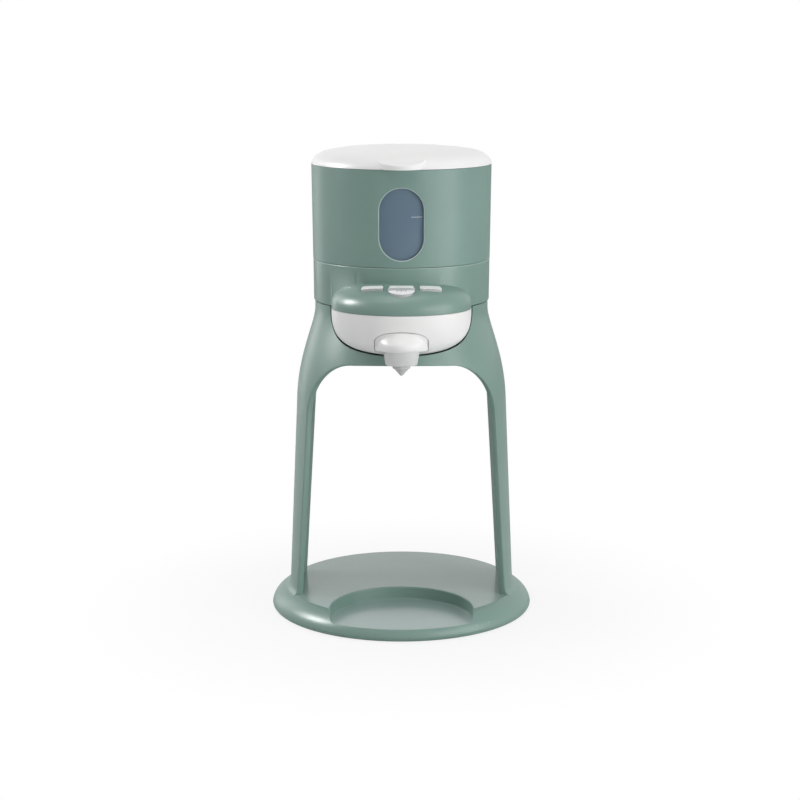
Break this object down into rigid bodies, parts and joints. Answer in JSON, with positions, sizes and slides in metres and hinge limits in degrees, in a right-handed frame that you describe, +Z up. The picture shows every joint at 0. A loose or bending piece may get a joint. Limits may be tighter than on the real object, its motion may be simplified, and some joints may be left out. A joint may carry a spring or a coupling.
{
  "type": "baby formula maker",
  "caption": "Countertop baby formula maker: round base with a bottle recess, arched stand, lift-off water tank with a hinged lid, and a head with a powder drawer, spout and buttons.",
  "frame": {"origin": "centre of the base's footprint, at table height", "axes": "+Z up, the spout and buttons towards -Y, +X to the viewer's right"},
  "size_m": [0.206, 0.206, 0.3659],
  "materials": {
    "sage_plastic": "satin sage green moulding",
    "white_plastic": "satin white moulding",
    "smoke_clear": "smoke-grey clear moulding",
    "rubber": "soft, matte",
    "silicone": "grey silicone, matte",
    "dark_plastic": "matte",
    "circuit_board": "solder resist",
    "lens": "diffusing",
    "steel": "bright",
    "aluminium": "cast"
  },
  "bodies": {
    "housing": {"base_tray": "sage_plastic", "stand": "sage_plastic", "chassis_floor": "sage_plastic", "upper_housing": "sage_plastic", "head_bowl": "white_plastic", "base_foot_1": "rubber", "base_foot_2": "rubber", "base_foot_3": "rubber", "base_foot_4": "rubber", "hose_inlet": "silicone", "hose_pump": "silicone", "hose_outlet": "silicone", "base_cover": "dark_plastic", "cord_gland": "dark_plastic", "water_outlet": "dark_plastic", "inlet_socket": "dark_plastic", "pump": "dark_plastic", "key_switch_1": "dark_plastic", "key_switch_2": "dark_plastic", "key_switch_3": "dark_plastic", "key_switch_4": "dark_plastic", "control_board": "circuit_board", "power_board": "circuit_board", "cover_screw_1": "steel", "cover_screw_2": "steel", "cover_screw_3": "steel", "cover_screw_4": "steel", "leg_screw_1": "steel", "leg_screw_2": "steel", "leg_screw_3": "steel", "leg_screw_4": "steel", "board_screw_1": "steel", "board_screw_2": "steel", "board_screw_3": "steel", "chassis_screw_1": "steel", "chassis_screw_2": "steel", "chassis_screw_3": "steel", "flow_heater": "aluminium"},
    "tank": {"water_tank": "smoke_clear", "tank_sleeve": "sage_plastic", "valve_cap": "white_plastic", "valve_spring": "steel", "tank_outlet_seal": "rubber"},
    "lid_assembly": {"lid": "white_plastic", "lid_seal": "rubber", "lid_hinge_pin": "steel"},
    "valve": {"valve_poppet": "silicone"},
    "drawer": {"drawer_front": "white_plastic", "spout_nozzle": "silicone", "powder_basket": "white_plastic"},
    "button_left_cap": {"button_left": "white_plastic"},
    "button_right_cap": {"button_right": "white_plastic"},
    "button_centre_back_cap": {"button_centre_back": "white_plastic"},
    "button_centre_front_cap": {"button_centre_front": "white_plastic", "indicator_lens_1": "lens", "indicator_lens_2": "lens", "indicator_lens_3": "lens"}
  },
  "joints": [
    {"name": "tank_lift", "type": "slide", "parent": "housing", "child": "tank", "axis": [0, 0, 1], "range_m": [0, 0.04]},
    {"name": "lid_hinge", "type": "hinge", "parent": "tank", "child": "lid_assembly", "pos_m": [0, 0.0732, 0.35355], "axis": [-1, 0, 0], "range_deg": [0, 100]},
    {"name": "valve_travel", "type": "slide", "parent": "tank", "child": "valve", "axis": [0, 0, 1], "range_m": [-0.0025, 0], "deforming": ["valve_spring"]},
    {"name": "drawer_slide", "type": "slide", "parent": "housing", "child": "drawer", "axis": [0, -1, 0], "range_m": [0, 0.064]},
    {"name": "button_left_press", "type": "slide", "parent": "housing", "child": "button_left_cap", "axis": [0, 0, -1], "range_m": [0, 0.0008], "stiffness_N_per_m": 300, "springref_m": -0.001},
    {"name": "button_right_press", "type": "slide", "parent": "housing", "child": "button_right_cap", "axis": [0, 0, -1], "range_m": [0, 0.0008], "stiffness_N_per_m": 300, "springref_m": -0.001},
    {"name": "button_centre_back_press", "type": "slide", "parent": "housing", "child": "button_centre_back_cap", "axis": [0, 0, -1], "range_m": [0, 0.0008], "stiffness_N_per_m": 300, "springref_m": -0.001},
    {"name": "button_centre_front_press", "type": "slide", "parent": "housing", "child": "button_centre_front_cap", "axis": [0, 0, -1], "range_m": [0, 0.0008], "stiffness_N_per_m": 300, "springref_m": -0.001}
  ],
  "couplings": [
    {"joint": "valve_travel", "follows": "tank_lift", "ratio": -0.0625}
  ]
}
